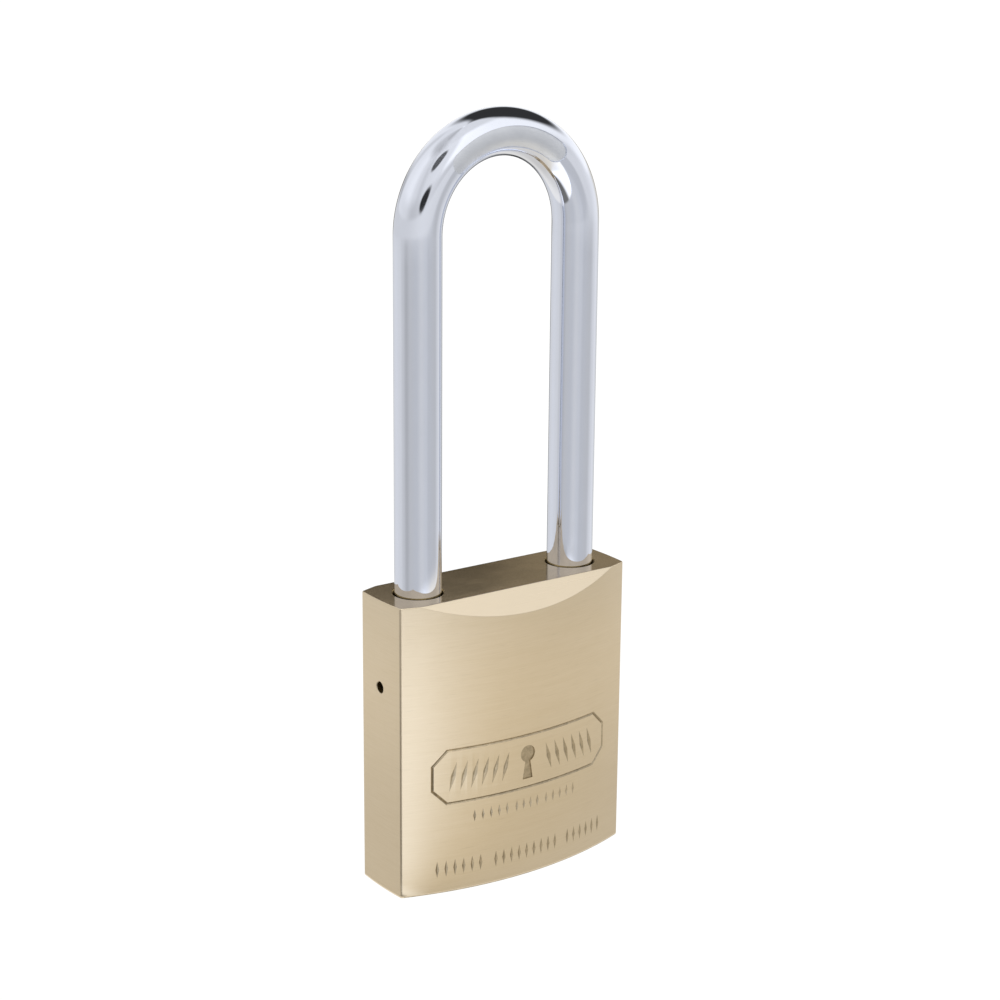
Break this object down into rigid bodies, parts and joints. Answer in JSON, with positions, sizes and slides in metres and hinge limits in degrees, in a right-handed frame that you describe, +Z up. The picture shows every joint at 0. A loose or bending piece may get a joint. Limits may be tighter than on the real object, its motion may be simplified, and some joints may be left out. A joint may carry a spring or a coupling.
{
  "type": "padlock",
  "caption": "Solid brass padlock with bowed faces, crescent top chamfers, a long steel shackle, ball locking and a removable pin cylinder.",
  "frame": {"origin": "centre of the body's flat underside", "axes": "+Z up along the shackle's legs, +X from the heel leg to the toe leg, -Y out of the front face"},
  "size_m": [0.0474, 0.02, 0.132],
  "materials": {
    "brushed_brass": "satin, grained along its width",
    "machined_brass": "turned",
    "chromed_steel": "polished",
    "ball_steel": "ground",
    "spring_steel": "drawn wire",
    "nickel_silver": "turned",
    "black_steel": "black oxide"
  },
  "bodies": {
    "case": {"body": "brushed_brass", "shackle_spring": "spring_steel", "cylinder_housing": "machined_brass", "chamber_cover_strip": "machined_brass", "cylinder_retaining_screw": "black_steel", "cam_return_spring": "spring_steel", "pin_spring_1": "spring_steel", "pin_spring_2": "spring_steel", "pin_spring_3": "spring_steel", "pin_spring_4": "spring_steel", "pin_spring_5": "spring_steel"},
    "shackle": {"shackle": "chromed_steel"},
    "plug": {"cylinder_plug": "nickel_silver", "plug_retaining_clip": "black_steel"},
    "cam": {"locking_cam": "machined_brass"},
    "toe_ball": {"locking_ball_toe": "ball_steel"},
    "heel_ball": {"locking_ball_heel": "ball_steel"},
    "key_pin_1": {"key_pin_1": "machined_brass"},
    "key_pin_2": {"key_pin_2": "machined_brass"},
    "key_pin_3": {"key_pin_3": "machined_brass"},
    "key_pin_4": {"key_pin_4": "machined_brass"},
    "key_pin_5": {"key_pin_5": "machined_brass"},
    "driver_pin_1": {"driver_pin_1": "nickel_silver"},
    "driver_pin_2": {"driver_pin_2": "nickel_silver"},
    "driver_pin_3": {"driver_pin_3": "nickel_silver"},
    "driver_pin_4": {"driver_pin_4": "nickel_silver"},
    "driver_pin_5": {"driver_pin_5": "nickel_silver"}
  },
  "joints": [
    {"name": "shackle_lift", "type": "slide", "parent": "case", "child": "shackle", "axis": [0, 0, 1], "range_m": [0, 0.01849], "deforming": ["shackle_spring"]},
    {"name": "plug_turn", "type": "hinge", "parent": "case", "child": "plug", "pos_m": [0, 0, 0], "axis": [0, 0, -1], "range_deg": [0, 90], "deforming": ["cam_return_spring"]},
    {"name": "cam_turn", "type": "hinge", "parent": "case", "child": "cam", "pos_m": [0, 0, 0], "axis": [0, 0, -1], "range_deg": [0, 90]},
    {"name": "toe_ball_slide", "type": "slide", "parent": "case", "child": "toe_ball", "axis": [1, 0, 0], "range_m": [0, 0.0019]},
    {"name": "heel_ball_slide", "type": "slide", "parent": "case", "child": "heel_ball", "axis": [-1, 0, 0], "range_m": [0, 0.0007]},
    {"name": "key_pin_1_slide", "type": "slide", "parent": "plug", "child": "key_pin_1", "axis": [0, -1, 0], "range_m": [0, 0.001]},
    {"name": "key_pin_2_slide", "type": "slide", "parent": "plug", "child": "key_pin_2", "axis": [0, -1, 0], "range_m": [0, 0.001]},
    {"name": "key_pin_3_slide", "type": "slide", "parent": "plug", "child": "key_pin_3", "axis": [0, -1, 0], "range_m": [0, 0.001]},
    {"name": "key_pin_4_slide", "type": "slide", "parent": "plug", "child": "key_pin_4", "axis": [0, -1, 0], "range_m": [0, 0.001]},
    {"name": "key_pin_5_slide", "type": "slide", "parent": "plug", "child": "key_pin_5", "axis": [0, -1, 0], "range_m": [0, 0.001]},
    {"name": "driver_pin_1_slide", "type": "slide", "parent": "case", "child": "driver_pin_1", "axis": [1, 0, 0], "range_m": [0, 0.0015], "deforming": ["pin_spring_1"]},
    {"name": "driver_pin_2_slide", "type": "slide", "parent": "case", "child": "driver_pin_2", "axis": [1, 0, 0], "range_m": [0, 0.0015], "deforming": ["pin_spring_2"]},
    {"name": "driver_pin_3_slide", "type": "slide", "parent": "case", "child": "driver_pin_3", "axis": [1, 0, 0], "range_m": [0, 0.0015], "deforming": ["pin_spring_3"]},
    {"name": "driver_pin_4_slide", "type": "slide", "parent": "case", "child": "driver_pin_4", "axis": [1, 0, 0], "range_m": [0, 0.0015], "deforming": ["pin_spring_4"]},
    {"name": "driver_pin_5_slide", "type": "slide", "parent": "case", "child": "driver_pin_5", "axis": [1, 0, 0], "range_m": [0, 0.0015], "deforming": ["pin_spring_5"]}
  ],
  "couplings": [
    {"joint": "plug_turn", "follows": "toe_ball_slide", "rad_per_m": 826.73},
    {"joint": "cam_turn", "follows": "toe_ball_slide", "rad_per_m": 826.73},
    {"joint": "heel_ball_slide", "follows": "toe_ball_slide", "ratio": 0.3684},
    {"joint": "key_pin_2_slide", "follows": "key_pin_1_slide", "ratio": 1},
    {"joint": "key_pin_3_slide", "follows": "key_pin_1_slide", "ratio": 1},
    {"joint": "key_pin_4_slide", "follows": "key_pin_1_slide", "ratio": 1},
    {"joint": "key_pin_5_slide", "follows": "key_pin_1_slide", "ratio": 1},
    {"joint": "driver_pin_2_slide", "follows": "driver_pin_1_slide", "ratio": 1},
    {"joint": "driver_pin_3_slide", "follows": "driver_pin_1_slide", "ratio": 1},
    {"joint": "driver_pin_4_slide", "follows": "driver_pin_1_slide", "ratio": 1},
    {"joint": "driver_pin_5_slide", "follows": "driver_pin_1_slide", "ratio": 1}
  ]
}
